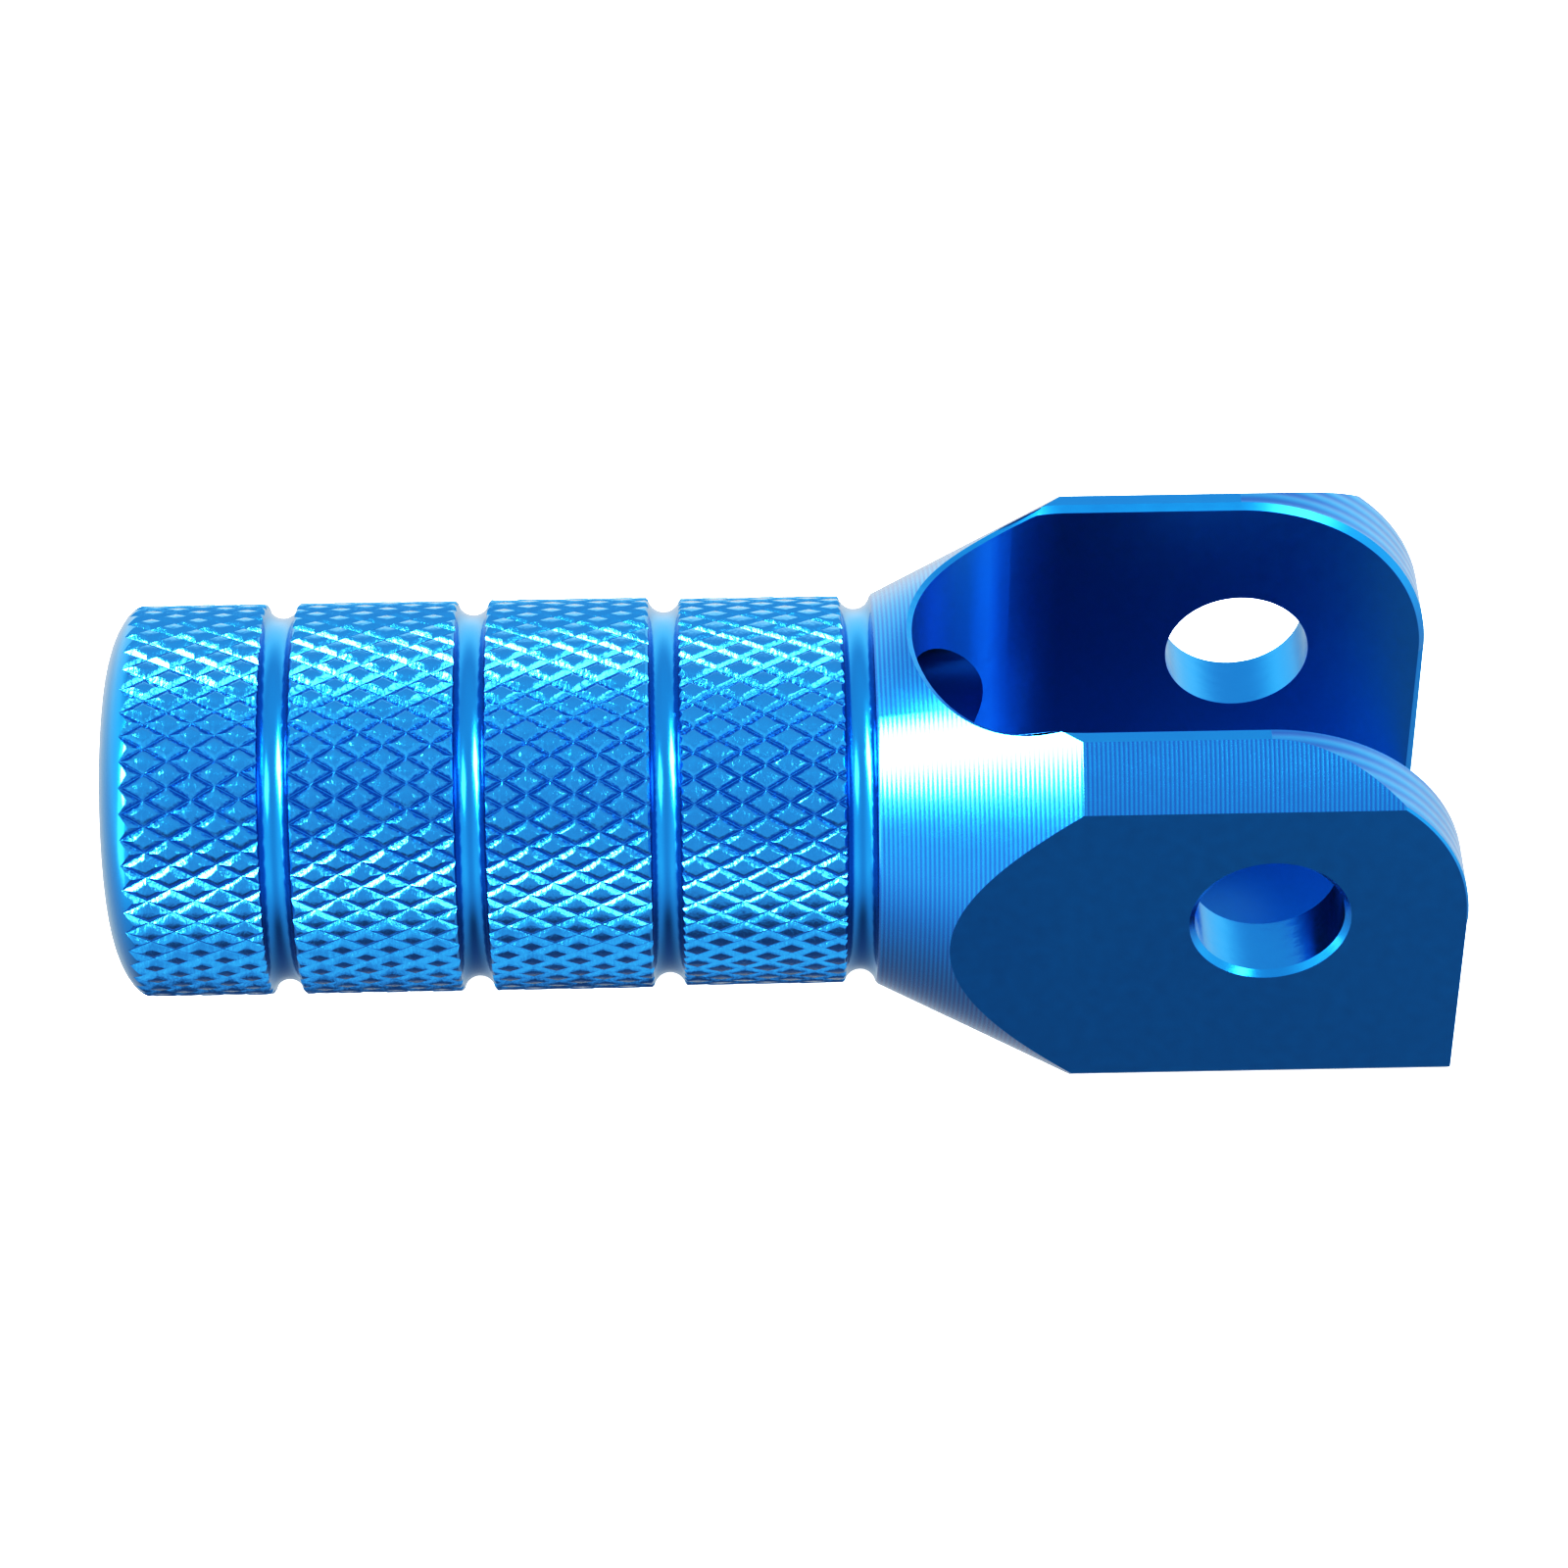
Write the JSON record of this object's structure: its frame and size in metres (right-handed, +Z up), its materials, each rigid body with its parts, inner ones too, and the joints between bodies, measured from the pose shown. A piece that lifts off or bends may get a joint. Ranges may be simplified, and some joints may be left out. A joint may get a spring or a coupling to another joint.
{
  "type": "folding toe peg",
  "caption": "Blue anodised folding toe peg: knurled grip, turned cone and a two-ear clevis closed underneath, with a spring-loaded ball in a blind bore that holds it out.",
  "frame": {"origin": "centre of the pivot bore, midway between the two ears of the clevis", "axes": "+X from the knurled grip towards the open end of the clevis, parallel to the turning axis, which lies 1.4 mm below the origin; +Y along the pivot bore; +Z up, towards the ears' rounded corners, which is the way the grip folds"},
  "size_m": [0.0583, 0.02, 0.02],
  "materials": {
    "anodised_blue": "blue anodised over turned, milled and knurled aluminium, satin on the cuts and bright on the knurl",
    "spring_steel": "drawn spring wire, satin grey",
    "ball_steel": "ground and polished bearing steel"
  },
  "bodies": {
    "peg": {"peg_body": "anodised_blue", "return_spring": "spring_steel"},
    "ball": {"detent_ball": "ball_steel"}
  },
  "joints": [
    {"name": "ball_slide", "type": "slide", "parent": "peg", "child": "ball", "axis": [-1, 0, 0], "range_m": [0, 0.004], "stiffness_N_per_m": 6350, "deforming": ["return_spring"]}
  ]
}
